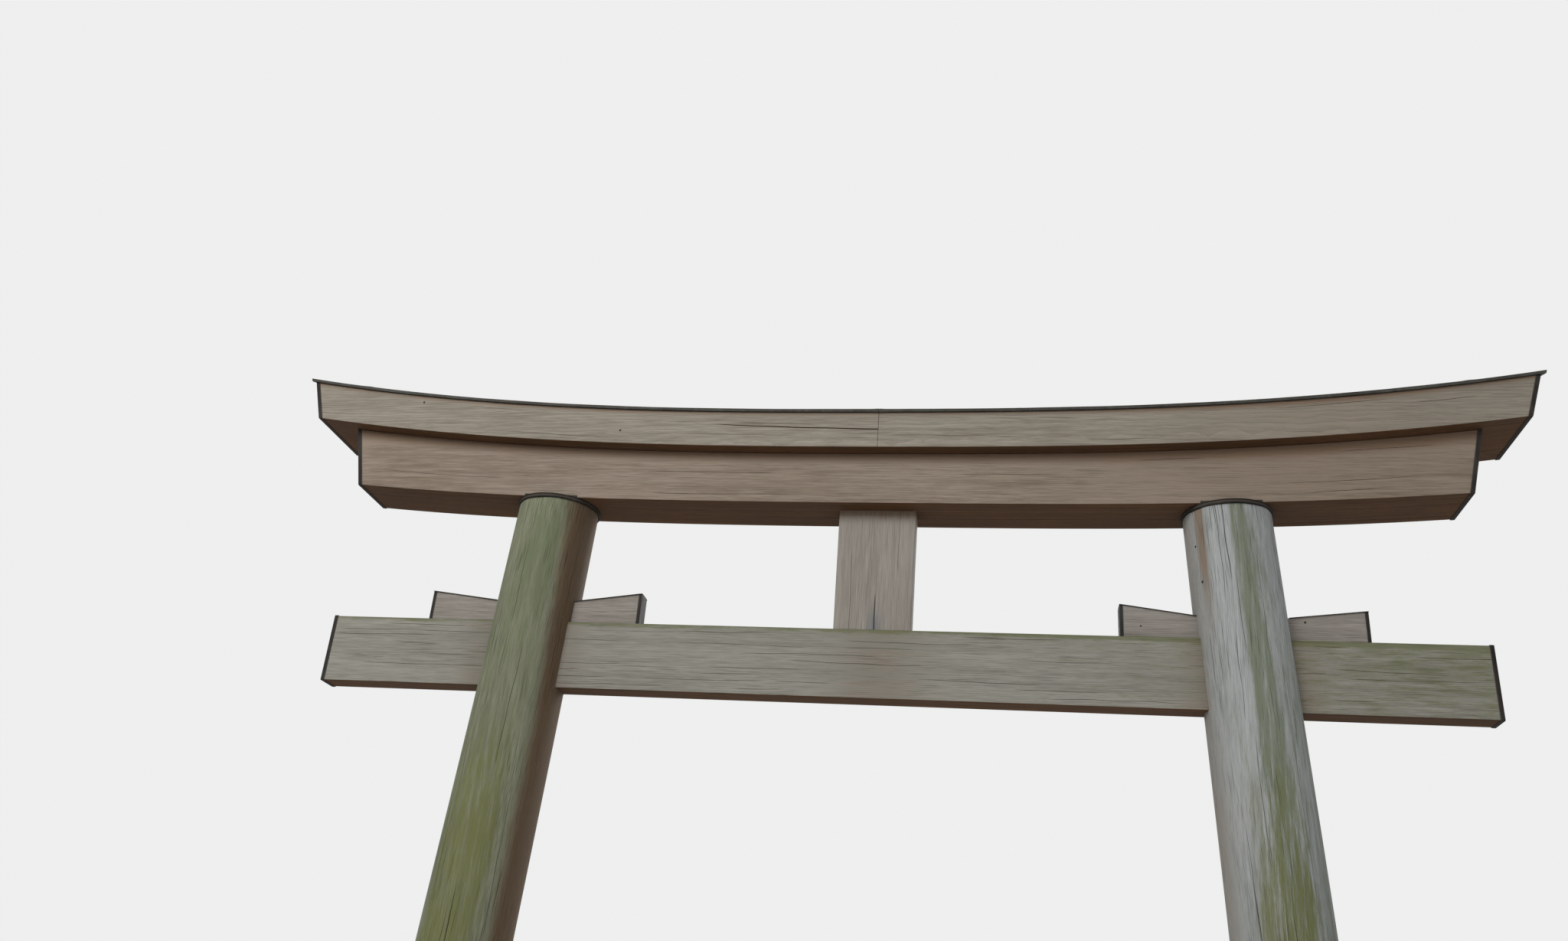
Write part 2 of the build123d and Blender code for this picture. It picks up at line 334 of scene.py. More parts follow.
def add(tree, kind, inputs, out=0, stops=None, **settings):
    """Adds one shader node with its inputs and settings and, on a colour ramp, its stops as
    pairs of place and hex colour. Gives the output called out, or all of them if it is None."""
    made = tree.nodes.new("ShaderNode" + kind)
    for key, value in settings.items():
        setattr(made, key, value)
    feed(tree, made, inputs)
    if stops:
        elements = made.color_ramp.elements
        while len(elements) < len(stops):
            elements.new(0.5)
        for element, (position, code) in zip(elements, stops):
            element.position, element.color = position, colour(code)
    return made.outputs if out is None else made.outputs[out]


def new_material(name):
    """An empty material with its tree, its Principled shader and its Object coordinates."""
    material = bpy.data.materials.new(name)
    material.use_nodes = True
    tree = material.node_tree
    return material, tree, tree.nodes["Principled BSDF"], add(tree, "TexCoord", {}, "Object")


# Settings of a Map Range node that steps smoothly. Its inputs 0 to 4 are the value, the range
# that it comes from and the range that it goes to, 0 to 1 if that isn't given.
SMOOTH = {"interpolation_type": "SMOOTHSTEP"}


def grain_noise(tree, place, axis, along, across, detail=4.0, roughness=0.55, shift=0.0):
    """Noise drawn out along the grain: features are about 1 / along metres long and 1 / across
    metres wide. axis is the grain's direction, 0 for x and 2 for z."""
    scale = [across, across, across]
    scale[axis] = along
    spread = add(tree, "Mapping", {"Vector": place, "Scale": scale, "Location": (shift,) * 3})
    return add(tree, "TexNoise", {"Vector": spread, "Scale": 1.0, "Detail": detail,
                                  "Roughness": roughness})


def weighted(tree, *parts):
    """The sum of some values, each times its share."""
    total = 0.0
    for value, share in parts:
        total = add(tree, "Math", {0: value, 1: share, 2: total}, operation="MULTIPLY_ADD")
    return total


def coat(tree, skin, tint, most, cover, band=None):
    """Lays a colour over a skin: most of it shows where the cover is 1. A band turns any other
    value into the cover, 0 at its first number and 1 at its second."""
    if band:
        cover = add(tree, "MapRange", {0: cover, 1: band[0], 2: band[1], 4: most}, **SMOOTH)
    elif most < 1:
        cover = add(tree, "Math", {0: cover, 1: most}, operation="MULTIPLY")
    return add(tree, "Mix", {0: cover, 6: skin, 7: tint}, 2, data_type="RGBA", clamp_factor=True)


def hairline_checks(tree, along_grain, across_grain, seed, along, across, half_width, strength):
    """Short hairline checks shaped like needles, one in each cell of a grid of along by across
    cells to the metre: the distance from the cell's point, in a space drawn out along the
    grain, within a reach that differs from cell to cell."""
    flat = add(tree, "CombineXYZ", {0: along_grain, 1: across_grain})
    drawn = add(tree, "Mapping", {"Vector": flat, "Scale": (along, across, 1),
                                  "Location": (seed, 0.37 * seed, 0)})
    cells = add(tree, "TexVoronoi", {"Vector": drawn, "Scale": 1.0, "Randomness": 1.0}, None,
                feature="F1", voronoi_dimensions="2D")
    chance = add(tree, "SeparateColor", {0: cells["Color"]})
    size = add(tree, "MapRange", {0: chance, 3: 0.3, 4: 1.3})
    away = add(tree, "Math", {0: cells["Distance"], 1: size}, operation="DIVIDE")
    edge = half_width * across
    return add(tree, "MapRange", {0: away, 1: edge, 2: 0.3 * edge, 4: strength}, **SMOOTH)


def growth(tree, amount, blotch, dash, most):
    """Cover of algae or moss where its amount is between 0 and 1: patches of the blotch noise
    that spread as the amount grows, their edges broken up by the dashes of the grain."""
    spread = add(tree, "MapRange", {0: blotch, 1: 0.3, 2: 0.7})
    edge = weighted(tree, (spread, 1.0), (amount, 1.0), (dash, 1.4))
    return add(tree, "MapRange", {0: edge, 1: 1.5, 2: 2.4, 4: most}, **SMOOTH)


Wood = namedtuple("Wood", "material tree shader place tone skin dash fibre hairline")


def aged_wood(name, axis, tones, seed, hairlines, is_log=False):
    """What all the cypress shares: the grain's tone, the weathered colour, the dashes of the
    grain, the fine fibre and the hairline checks at the given strength. Dashes are 8 mm wide
    and fibre 3 to 4 mm, drawn coarser than the real 1 mm so that they show. Across the grain
    the checks follow a log's girth, and on a squared timber the sum of two coordinates."""
    material, tree, shader, place = new_material(name)
    streak = grain_noise(tree, place, axis, 0.6, 30, 6, 0.6, seed)
    dash = grain_noise(tree, place, axis, 6.0, 120, 5, 0.62, seed + 2)
    patch = grain_noise(tree, place, axis, 0.7, 2.6, 4, 0.55, seed + 7)
    fibre = grain_noise(tree, place, axis, 4.0, 290, 5, 0.7, seed + 3)
    tone = weighted(tree, (streak, 0.28), (dash, 0.42), (patch, 0.30))
    skin = add(tree, "ValToRGB", {0: tone}, stops=list(zip((0.39, 0.5, 0.61), tones)))
    split = add(tree, "SeparateXYZ", {0: place}, None)
    if is_log:
        girth = add(tree, "Attribute", {}, "Fac", attribute_name="girth")
    else:
        girth = weighted(tree, *((split[i], 1.0) for i in range(3) if i != axis))
    girth = weighted(tree, (girth, 1.0), (patch, 0.06), (streak, 0.006))
    wide = hairline_checks(tree, split[axis], girth, seed, 0.75, 56, 0.0025, 1.0)
    fine = hairline_checks(tree, split[axis], girth, seed + 11, 2.4, 110, 0.0019, 0.8)
    hairline = add(tree, "Math", {0: wide, 1: fine}, operation="MAXIMUM")
    somewhere = add(tree, "MapRange", {0: grain_noise(tree, place, axis, 0.9, 5, 3, 0.6, seed + 5),
                                       1: 0.34, 2: 0.56, 4: hairlines}, **SMOOTH)
    hairline = add(tree, "Math", {0: hairline, 1: somewhere}, operation="MULTIPLY")
    return Wood(material, tree, shader, place, tone, skin, dash, fibre, hairline)


def finish_wood(wood, skin, shade, fibre_shades, relief, bump_height, smoothest, dark, holes):
    """The last steps of a wood: shade and the fibre darken its skin, the checks, hairlines and
    nail holes are drawn in dark, and the relief becomes bump. The places of nail holes, and of
    small knots like them, each come with a radius."""
    tree = wood.tree
    fibre = add(tree, "MapRange", {0: wood.fibre, 1: 0.3, 2: 0.7, 3: fibre_shades[0],
                                   4: fibre_shades[1]})
    shade = add(tree, "Math", {0: shade, 1: fibre}, operation="MULTIPLY")
    skin = add(tree, "Mix", {0: 1.0, 6: skin, 7: shade}, 2, data_type="RGBA", blend_type="MULTIPLY")
    lines = add(tree, "Attribute", {}, "Fac", attribute_name="checks")
    lines = add(tree, "Math", {0: lines, 1: wood.hairline}, operation="MAXIMUM")
    for *spot, radius in holes:
        away = add(tree, "VectorMath", {0: wood.place, 1: spot}, "Value", operation="DISTANCE")
        dot = add(tree, "MapRange", {0: away, 1: radius, 2: 0.6 * radius}, **SMOOTH)
        lines = add(tree, "Math", {0: dot, 1: lines}, operation="MAXIMUM")
    relief = weighted(tree, (wood.fibre, 0.6), (wood.dash, 0.5), *relief, (wood.hairline, -1.0))
    feed(tree, wood.shader, {
        "Base Color": coat(tree, skin, dark, 1.0, lines),
        "Normal": add(tree, "Bump", {"Height": relief, "Strength": 0.5, "Distance": bump_height}),
        "Roughness": add(tree, "MapRange", {0: wood.tone, 3: smoothest, 4: 0.92}),
        "Specular IOR Level": 0.25})
    return wood.material


RING_SPACING = 0.011    # growth rings, 2 mm on the timber, drawn coarser so that they show
RING_SCALE = 0.314 / RING_SPACING


def weathered_cypress(name, axis, pith, tones, seed, hairlines, holes=()):
    """Planed hinoki cypress left bare: the rain-washed faces are silver grey over brown with a
    low rough sheen, and faces turned downwards get a dark red-brown, the brown that dry undersides
    keep painted darker as shade. axis is the grain's direction and pith the rings' centre. The
    mesh says where it is damp or stained, and where it is brown, from real shelter and stains
    and from painted shade and painted shadow."""
    wood = aged_wood(name, axis, tones, seed, hairlines)
    tree, place = wood.tree, wood.place
    # growth rings round the pith, cut at a slight slant so that they open into long arches
    tilt = [0.0, 0.0, 0.0]
    tilt[1 if axis == 0 else 0] = math.radians(1.3)
    ring_place = add(tree, "Mapping", {"Vector": place, "Location": pith, "Rotation": tilt})
    rings = add(tree, "TexWave", {"Vector": ring_place, "Scale": RING_SCALE, "Distortion": 5.0,
                                  "Detail": 3.0, "Detail Scale": 0.18, "Detail Roughness": 0.55},
                1, wave_type="RINGS", rings_direction="XYZ"[axis], wave_profile="SAW")
    dry_and_shade, damp, stain = (add(tree, "Attribute", {}, "Fac", attribute_name=layer)
                        for layer in ("dry_and_shade", "damp", "stain"))
    # This brown goes where the mesh's brown share from the timber's weather is high. On the tie
    # beam it is a real stain beside the pillars and below the strut. On the lintels it is partly
    # the brown that shelter keeps and partly painted shadow under the roof's eave and the upper
    # lintel, with painted shade over their right halves. At the strut's top it is painted shade.
    ragged_dry_and_shade = weighted(tree, (wood.tone, 2.5), (dry_and_shade, 1.0))
    skin = coat(tree, wood.skin, "6b533f", 0.8, ragged_dry_and_shade, (1.35, 2.15))
    blotch = grain_noise(tree, place, axis, 5.0, 34, 6, 0.75, seed + 9)
    skin = coat(tree, skin, "5f623f", 1.0, growth(tree, damp, blotch, wood.dash, 0.75))
    skin = coat(tree, skin, "586068", 0.6, stain)
    # Faces turned downwards get a dark red-brown: the brown that sheltered undersides keep, painted
    # darker as shade under the timbers.
    normal = add(tree, "TexCoord", {}, "Normal")
    upward = add(tree, "SeparateXYZ", {0: normal}, 2)
    underside_brown_and_shade = add(tree, "ValToRGB", {0: wood.tone},
               stops=[(0.36, "3f2b1b"), (0.5, "523822"), (0.64, "63452c")])
    skin = coat(tree, skin, underside_brown_and_shade, 1.0, upward, (-0.35, -0.8))
    shade = add(tree, "MapRange", {0: rings, 3: 0.88, 4: 1.05})
    return finish_wood(wood, skin, shade, (0.86, 1.10), [(rings, 0.35)], 0.0015, 0.72, "2b2119",
                       holes)


def weathered_log(name, tones, dry_tone, seed, holes=()):
    """A round cypress log left bare: silver grey where rain washes it, brown on its dry side,
    a film of green algae in long runs on the damp side and yellow-green moss low down. The mesh
    says where it is dry, damp and mossy."""
    wood = aged_wood(name, 2, tones, seed, 0.8, is_log=True)
    tree, place = wood.tree, wood.place
    dry_and_shade, damp, moss = (add(tree, "Attribute", {}, "Fac", attribute_name=layer)
                       for layer in ("dry_and_shade", "damp", "moss"))
    ragged_dry_and_shade = weighted(tree, (wood.tone, 2.5), (dry_and_shade, 1.0))
    skin = coat(tree, wood.skin, dry_tone, 0.9, ragged_dry_and_shade, (1.35, 2.05))
    blotch = grain_noise(tree, place, 2, 2.6, 34, 8, 0.75, seed + 13)
    skin = coat(tree, skin, "5b6346", 1.0, growth(tree, damp, blotch, wood.dash, 0.74))
    moss_cover = growth(tree, moss, blotch, wood.dash, 0.84)
    skin = coat(tree, skin, "646639", 1.0, moss_cover)
    return finish_wood(wood, skin, 1.0, (0.84, 1.12), [(moss_cover, 0.9)], 0.002, 0.70, "26221b",
                       holes)


def patinated_copper(name, tones, bloom, roughness):
    """Sheet copper after years outdoors: a dark brown oxide with a low soft sheen, with a grey
    bloom where water runs and slightly worn, lighter folds. The same lighter colour on the flat rim
    of a pillar's disc is a painted highlight."""
    material, tree, shader, place = new_material(name)
    cloud = grain_noise(tree, place, 2, 3.0, 5.0, 5, 0.6, 1.0)
    runs = grain_noise(tree, place, 2, 3.0, 34.0, 4, 0.6, 5.0)
    tone = weighted(tree, (runs, 0.4), (cloud, 0.6))
    skin = add(tree, "ValToRGB", {0: tone}, stops=list(zip((0.36, 0.5, 0.64), tones)))
    damp = grain_noise(tree, place, 2, 1.6, 7.0, 5, 0.65, 9.0)
    skin = coat(tree, skin, bloom, 0.6, damp, (0.52, 0.72))
    # Lighter colour from the mesh's fold share: real wear on folds and seams, and a painted
    # highlight on the flat rim of the pillars' discs.
    worn_fold_and_highlight = add(tree, "Attribute", {}, "Fac", attribute_name="worn_fold_and_highlight")
    skin = coat(tree, skin, "5d544b", 0.30, worn_fold_and_highlight)
    dents = grain_noise(tree, place, 2, 9.0, 11.0, 3, 0.5, 2.0)
    fine = grain_noise(tree, place, 2, 120.0, 160.0, 2, 0.5, 4.0)
    relief = weighted(tree, (fine, 0.08), (dents, 1.0))
    feed(tree, shader, {
        "Base Color": skin,
        "Roughness": add(tree, "MapRange", {0: tone, 1: 0.3, 2: 0.7, 3: roughness - 0.08,
                                            4: roughness + 0.12}),
        "Normal": add(tree, "Bump", {"Height": relief, "Strength": 0.35, "Distance": 0.004}),
        "Metallic": 0.06, "Specular IOR Level": 0.05})
    return material


def hammered_granite(name):
    """Grey granite dressed with a bush hammer: pale feldspar and quartz grains with dark mica,
    about 5 mm across, matt and pitted, with greener damp patches."""
    material, tree, shader, place = new_material(name)
    grains = add(tree, "TexVoronoi", {"Vector": place, "Scale": 190.0}, "Color", feature="F1")
    speck = add(tree, "SeparateColor", {0: grains})
    skin = add(tree, "ValToRGB", {0: speck},
               stops=[(0.0, "4c4a47"), (0.16, "807d77"), (0.5, "98948c"), (0.9, "aca79d")])
    stain = grain_noise(tree, place, 2, 5.0, 6.0, 6, 0.7, 3.0)
    pits = grain_noise(tree, place, 2, 230.0, 230.0, 3, 0.6, 6.0)
    feed(tree, shader, {
        "Base Color": coat(tree, skin, "5f5e4a", 0.55, stain, (0.45, 0.70)),
        "Normal": add(tree, "Bump", {"Height": pits, "Strength": 0.6, "Distance": 0.002}),
        "Roughness": 0.88, "Specular IOR Level": 0.3})
    return material


UPPER_FACE_Y, WEDGE_FACE_Y = -UPPER_DEPTH / 2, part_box("left_outer_wedge")[0].y

upper_wood = weathered_cypress("weathered_cypress_upper_lintel", 0, (0, -0.22, -5.30),
                               ("766d61", "888073", "999285"), 1.0, 0.40,
                               holes=((-3.202, UPPER_FACE_Y, 5.656, 0.010),
                                      (-1.747, UPPER_FACE_Y, 5.437, 0.009)))
lower_wood = weathered_cypress("weathered_cypress_lower_lintel", 0, (0, 0.31, -4.95),
                               ("6f6153", "837567", "95887a"), 21.0, 0.30)
tie_wood = weathered_cypress("weathered_cypress_tie_beam", 0, (0, 0.18, -3.62),
                             ("767368", "87847a", "98958b"), 43.0, 0.50)
wedge_wood = weathered_cypress("weathered_cypress_wedges", 0, (0, 0.1, -4.0),
                               ("777068", "89827a", "9b958d"), 61.0, 0.35,
                               holes=((2.600, WEDGE_FACE_Y, 4.271, 0.009),
                                      (1.643, WEDGE_FACE_Y, 4.224, 0.007)))
strut_wood = weathered_cypress("weathered_cypress_strut", 2, (0.05, 0.2, 0),
                               ("7c756c", "8a837a", "979188"), 81.0, 0.22)
logs = {"left": weathered_log("weathered_cypress_left_log", ("696958", "7d7e69", "92937e"),
                              "5c4633", 5.0),
        "right": weathered_log("weathered_cypress_right_log", ("7b7c79", "929491", "a9abaa"),
                               "7a6857", 33.0, holes=((1.978, -0.139, 4.718, 0.010),
                                                      (2.004, -0.160, 4.480, 0.011)))}
cap_copper = patinated_copper("patinated_sheet_copper_caps", ("201d1b", "2b2825", "3a3632"),
                              "3a403d", 0.58)
roof_copper = patinated_copper("patinated_sheet_copper_roof", ("242624", "323432", "444643"),
                               "46534f", 0.54)
granite = hammered_granite("hammered_granite")


# Timbers

FACE_ROWS, FLAT_ROWS, HIDDEN_ROWS = 0.024, 0.028, 0.12   # spacing of the grid across the grain
WEDGE_ROWS, WEDGE_EASE = 0.01, 0.004
SHARP = 0.0015          # ease of the lower lintel's arrises at its seam
JOINT = 0.002           # width of the open groove between the upper lintel's halves


def carried(name, form, checks, stations, place, weather, seed, joint=0.0):
    """A timber: the outline form, in y and height, carried along x through the function place.
    weather gives the mesh's brown, damp and stained shares from x and height, the brown partly
    painted shade, and joint is the width of the open groove where the timber meets its other half
    at x = 0."""
    u = stations[:, None]
    reach = abs(place(1.0, 0.1)[0])
    y, h, dark = weathered(form, u * reach, checks, np.random.default_rng(seed), 0.5, 9, joint)
    x, z = place(u, h)
    return surface(name, (x, y, z), {"checks": dark, **weather(x, h)})


def tie_beam():
    """The tie beam, with the long fine checks of a timber that dried in place, damp along its
    top edge and towards its right end, and browner beside the pillars and below the strut."""
    half, reach = tie_high.y, tie_high.x
    rng = np.random.default_rng(11)
    checks = []
    for side in (1, 3):
        lines = np.linspace(0.04, TIE_HEIGHT - 0.04, 9) + rng.uniform(-0.008, 0.008, 9)
        checks += scattered_checks(rng, side, lines, (-reach, reach), 5, (0.20, 0.9), 0.0006,
                                   (0.0015, 0.005))
    form = outline(squared(-half, half, TIE_HEIGHT), (FLAT_ROWS, FACE_ROWS) * 2, EASE, checks)

    def weather(x, h):
        """The mesh's damp and dry shares."""
        below_top = TIE_HEIGHT - h
        top_edge = 1.05 * fade(below_top, 0.055)
        right_end = 0.35 * fade(reach - x, 1.7) * fade(below_top, 0.6)
        rightwards = 0.45 * fade(reach - x, 5.2)
        from_pillar = np.abs(np.abs(x) - pillar_axis(tie_low.z)) - pillar_radius(tie_low.z)
        under_strut = 0.40 * fade(np.abs(x - 0.05), 0.60)
        return {"damp": top_edge + right_end + rightwards + 0.05,
                "dry_and_shade": 0.42 * fade(from_pillar, 0.32) + under_strut}
    return carried("tie_beam_timber", form, checks, np.linspace(-1, 1, 260), tie_place, weather, 12)


def lower_lintel(part, low_y, high_y, seed):
    """The front or the back timber of the lower lintel. The top of its open face is brown under
    the upper lintel: the brown that the shelter keeps, with painted shadow of the upper lintel over
    it. At the seam its arris is nearly sharp."""
    if part == "front":
        open_side, ease = 3, (EASE, SHARP, SHARP, EASE)
        rows = (FLAT_ROWS, HIDDEN_ROWS, HIDDEN_ROWS, FACE_ROWS)
    else:
        open_side, ease = 1, (SHARP, EASE, EASE, SHARP)
        rows = (FLAT_ROWS, FACE_ROWS, HIDDEN_ROWS, HIDDEN_ROWS)
    rng = np.random.default_rng(seed)
    checks = scattered_checks(rng, open_side, (0.06, 0.15, 0.24, 0.30), (-3.4, 3.4), 2,
                              (0.3, 1.1), 0.0008, (0.001, 0.003))
    width = high_y - low_y
    checks += scattered_checks(rng, 0, (0.4 * width, 0.75 * width), (-3.3, 3.3), 3, (0.5, 1.6),
                               0.0014, (0.002, 0.005))
    form = outline(squared(low_y, high_y, LOWER_HEIGHT), rows, ease, checks)

    def weather(x, h):
        """The mesh's brown share: real sheltered brown with painted shadow along the top, and
        painted shade in a stretch to the right.
        """
        return {"dry_and_shade": 0.8 * fade(LOWER_HEIGHT - h, 0.11) + 0.25 * fade(np.abs(x - 2.6), 2.4)}
    return carried(f"lower_lintel_{part}_timber", form, checks, np.linspace(-1, 1, 200),
                   lower_place, weather, seed + 1)


def upper_lintel(side, sign):
    """One half of the upper lintel, cut square at the centre where the two halves meet. A long
    check runs into that seam on the left half's front."""
    rng = np.random.default_rng(71 + sign)
    checks = []
    for face in (1, 4):
        checks += scattered_checks(rng, face, (0.045, 0.085, 0.170, 0.212), (0.2, 3.6), 1,
                                   (0.3, 1.0), 0.0008, (0.001, 0.003))
    checks += scattered_checks(rng, 0, (0.07, 0.17, 0.30, 0.43, 0.54), (0.2, 3.6), 2, (0.6, 1.8),
                               0.0014, (0.002, 0.005))
    if sign < 0:
        seam_height = 0.138
        checks.append(Check(4, UPPER_HEIGHT - seam_height, -0.30, 1.10, 0.0020, 0.008, -0.027))
    form = outline(gabled(), (FLAT_ROWS, FACE_ROWS, HIDDEN_ROWS, HIDDEN_ROWS, FACE_ROWS), EASE,
                   checks)
    stations = np.concatenate([np.array([0.0001, 0.3 * JOINT, JOINT]) / UPPER_HALF_LENGTH,
                               np.linspace(0, 1, 120)[1:]])

    def weather(x, h):
        """The mesh's brown share: a painted shadow of the roof's eave along the top, and painted
        shade in a stretch to the right.
        """
        return {"dry_and_shade": 0.75 * fade(UPPER_HEIGHT - h, 0.05) + 0.30 * fade(np.abs(x - 2.9), 2.2)}
    return carried(f"upper_lintel_{side}_timber", form, checks, stations,
                   lambda u, h: upper_place(sign * u, h), weather, 73 + sign, JOINT)


Wedge = namedtuple("Wedge", "end level height half slope outward place")


def wedge_shape(side, which):
    """A wedge from its CAD node's box: x of its thick end, the level that it lies on, its height
    at the end, half its thickness, the slope of its top, the side of its tip that the end is
    on, and its place in the way of between_lines, with u = -1 at the tip."""
    low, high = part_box(f"{side}_{which}_wedge")
    outward = 1 if (side == "right") == (which == "outer") else -1
    tip, end = (low.x, high.x) if outward > 0 else (high.x, low.x)
    height, slope = high.z - low.z, WEDGE_SLOPES[which]

    def place(u, h, past=0.0):
        """x and z of (u, h)."""
        x = tip + (end - tip) * (u + 1) / 2 + outward * past
        top = height - slope * outward * (end - x)
        return x, low.z + h * top / height
    return Wedge(end, low.z, height, high.y, slope, outward, place)


def wedge(side, which, seed):
    """The timber of a wedge, damp where it lies on the tie beam."""
    shape = wedge_shape(side, which)
    form = outline(squared(-shape.half, shape.half, shape.height), (FLAT_ROWS, WEDGE_ROWS) * 2,
                   WEDGE_EASE)
    most = 1.0 if side == "right" else 0.8
    return carried(f"{side}_{which}_wedge_timber", form, (), np.linspace(-1, 1, 34), shape.place,
                   lambda x, h: {"damp": most * fade(h, 0.020)}, seed)


def strut():
    """The strut's board, grain upright: the outline is its plan, which narrows downwards, with
    one open check up from its foot and the bluish stain round it."""
    half, thick = strut_high.x, strut_high.y
    height = strut_high.z - strut_low.z
    rng = np.random.default_rng(91)
    checks = [Check(0, half + 0.012, -0.30, 0.24, 0.0020, 0.012, 0.0)]
    checks += scattered_checks(rng, 0, (0.10, 0.40), (0, height), 1, (0.2, 0.6), 0.0007,
                               (0.001, 0.003))
    form = outline([(-half, -thick), (half, -thick), (half, thick), (-half, thick)],
                   (0.02, FLAT_ROWS) * 2, EASE, checks)
    up = np.linspace(0, height, 60)[:, None]
    x, y, dark = weathered(form, up, checks, rng, 0.4, 6)
    foot_share = 490 / 502      # width at the foot over the width at the top
    x = x * (foot_share + (1 - foot_share) * up / height)
    stain = np.exp(-((x - 0.012) / 0.04) ** 2) * fade(up, 0.20)
    # The top 100 mm gets the brown of painted shade under the upper lintel.
    return surface("strut_board", (x, y, strut_low.z + up),
                   {"checks": dark, "stain": stain, "dry_and_shade": 0.8 * fade(height - up, 0.10)})


# Pillars

THIN, OPEN = 0.0008, 0.0012     # widths of the logs' checks

PILLAR_CHECKS = {
    "left": ((-78, 1.0, 1.8, THIN, 0.005), (-50, 1.9, 3.1, THIN, 0.006),
             (-101, 0.3, 0.9, THIN, 0.005), (-128, 1.6, 2.6, THIN, 0.005),
             (-28, 0.2, 1.4, THIN, 0.006), (-92, 2.5, 4.0, OPEN, 0.008)),
    "right": ((-114, -0.3, 0.62, THIN, 0.008), (-105, -0.4, 0.50, OPEN, 0.010),
              (-98, 0.42, 0.95, THIN, 0.006), (-109, 0.80, 1.35, THIN, 0.006),
              (-102, 1.45, 2.05, THIN, 0.007), (-162, 0.95, 1.75, THIN, 0.006),
              (-124, 1.9, 3.2, THIN, 0.006), (-70, 0.3, 1.2, THIN, 0.005),
              (-86, 2.4, 3.9, OPEN, 0.009), (-55, 1.3, 2.6, THIN, 0.005))}


def pillar_checks(side, sign, rng):
    """A pillar's checks: the ones that show, and some at random heights round its back."""
    behind = [(facing, *sorted(rng.uniform(0, 4.4, 2)), THIN, 0.006)
              for facing in (20, 45, 63, 88, 110, 131, 155)]
    return [Check(0, math.radians((facing if sign > 0 else 180 - facing) % 360) * HEAD_RADIUS,
                  HEAD_LEVEL - bottom, HEAD_LEVEL - top, width, depth, 0.0)
            for facing, top, bottom, width, depth in (*PILLAR_CHECKS[side], *behind)]


def pillar_weather(sign, facing, below):
    """Dry, damp and moss on a pillar's surface, from the angle that it faces and its distance
    below the head. The left one is brown towards the passage and the right one towards its left
    edge, each with algae on its weather side and moss low down."""
    def towards(angle, reach):
        """How squarely the surface faces an angle: 1 there, 0 at reach degrees from it."""
        return fade(np.abs((facing - angle + 180) % 360 - 180), reach)

    def between(low, high, soft):
        """1 between two angles of the surface, down to 0 at soft degrees outside them."""
        return fade(low - facing, soft) * fade(facing - high, soft)
    spread = np.clip(below / 1.5, 0, 1)
    if sign > 0:
        dry_and_shade = 0.42 * towards(-178, 62) + 0.8 * towards(-138, 12) * fade(below, 1.1)
        damp = 0.10 + 0.50 * between(-90 - 4 * np.minimum(below, 3), -80 + 66 * spread, 15) \
            + 0.45 * between(-92, -82 + 14 * spread, 8) + 0.45 * towards(40, 90)
        moss = fade(2.6 - below, 1.9) * (0.12 + 0.85 * between(-112, -66, 24)
                                         + 0.30 * towards(60, 90))
    else:
        dry_and_shade = 1.1 * fade(-34 + 18 * spread - facing, 46) * fade(facing - 44, 86)
        damp = 0.18 + 0.50 * between(-150, -66, 34) \
            + 0.40 * between(-104, -70, 14) * fade(np.abs(below - 0.45), 0.75)
        moss = fade(2.4 - below, 1.7) * (0.12 + 0.85 * between(-122, -70, 26)
                                         + 0.30 * towards(110, 90))
    return {"dry_and_shade": dry_and_shade, "damp": damp, "moss": moss}


def pillar(side, sign):
    """A pillar: a leaning tapered log whose girth swells and sinks a little. The outline is the
    girth at the head, its checks run down from the head, and the head follows the disc's
    seat, so each height is found in a few rounds."""
    rng = np.random.default_rng(101 if sign < 0 else 131)
    checks = pillar_checks(side, sign, rng)
    girth = with_clusters(np.linspace(0, 2 * math.pi * HEAD_RADIUS, 241)[:-1], checks, 0)
    share = np.linspace(0, 1, 132)[:, None]
    z = stone_high.z + share * (HEAD_LEVEL - stone_high.z)
    form = Form(None, None, np.zeros(len(girth)), girth)
    shift, depth, dark = carve(form, z, checks, rng, 0.0035)
    around = (girth + shift) / HEAD_RADIUS
    for _ in range(4):
        x = pillar_axis(z) + pillar_radius(z) * np.cos(around)
        z = stone_high.z + share * (lower_line(x) - DISC_THICKNESS - stone_high.z)
    uneven = np.sin(3 * around + 1.1 * z + sign) + np.sin(5 * around - 0.7 * z) \
        + np.sin(9 * around + 1.9 * z + 2 * sign)
    radius = pillar_radius(z) - depth - 0.0036 - 0.0012 * uneven
    facing = np.degrees(np.arctan2(np.sin(around), sign * np.cos(around)))
    return surface(f"{side}_pillar_log",
                   (sign * (pillar_axis(z) + radius * np.cos(around)), radius * np.sin(around), z),
                   {"checks": dark, "girth": girth + shift,
                    **pillar_weather(sign, facing, HEAD_LEVEL - z)})


# Copper

CAP_ROWS, CAP_EASE = 0.03, 0.003    # grid spacing and bend of the sheet along a timber's arris


def cover_path(flange):
    """Path of an end cap's skin, as how far it stands off the timber, how far it is past the
    timber's end, and how far it is drawn in to the middle of the end."""
    corner = 0.004
    bend = np.linspace(0, math.pi / 2, 5)[1:]
    out = [[0, 0.9 * SHEET], np.full(5, SHEET), SHEET - corner * (1 - np.cos(bend)),
           np.full(14, SHEET - corner)]
    past = [[-flange, -flange - 0.0004, -flange + 0.002], np.linspace(-flange + 0.004, -corner, 4),
            SHEET - corner * (1 - np.sin(bend)), np.full(14, SHEET)]
    draw = [np.zeros(11), np.linspace(0.04, 0.97, 14)]
    return (np.concatenate(column)[:, None] for column in (out, past, draw))


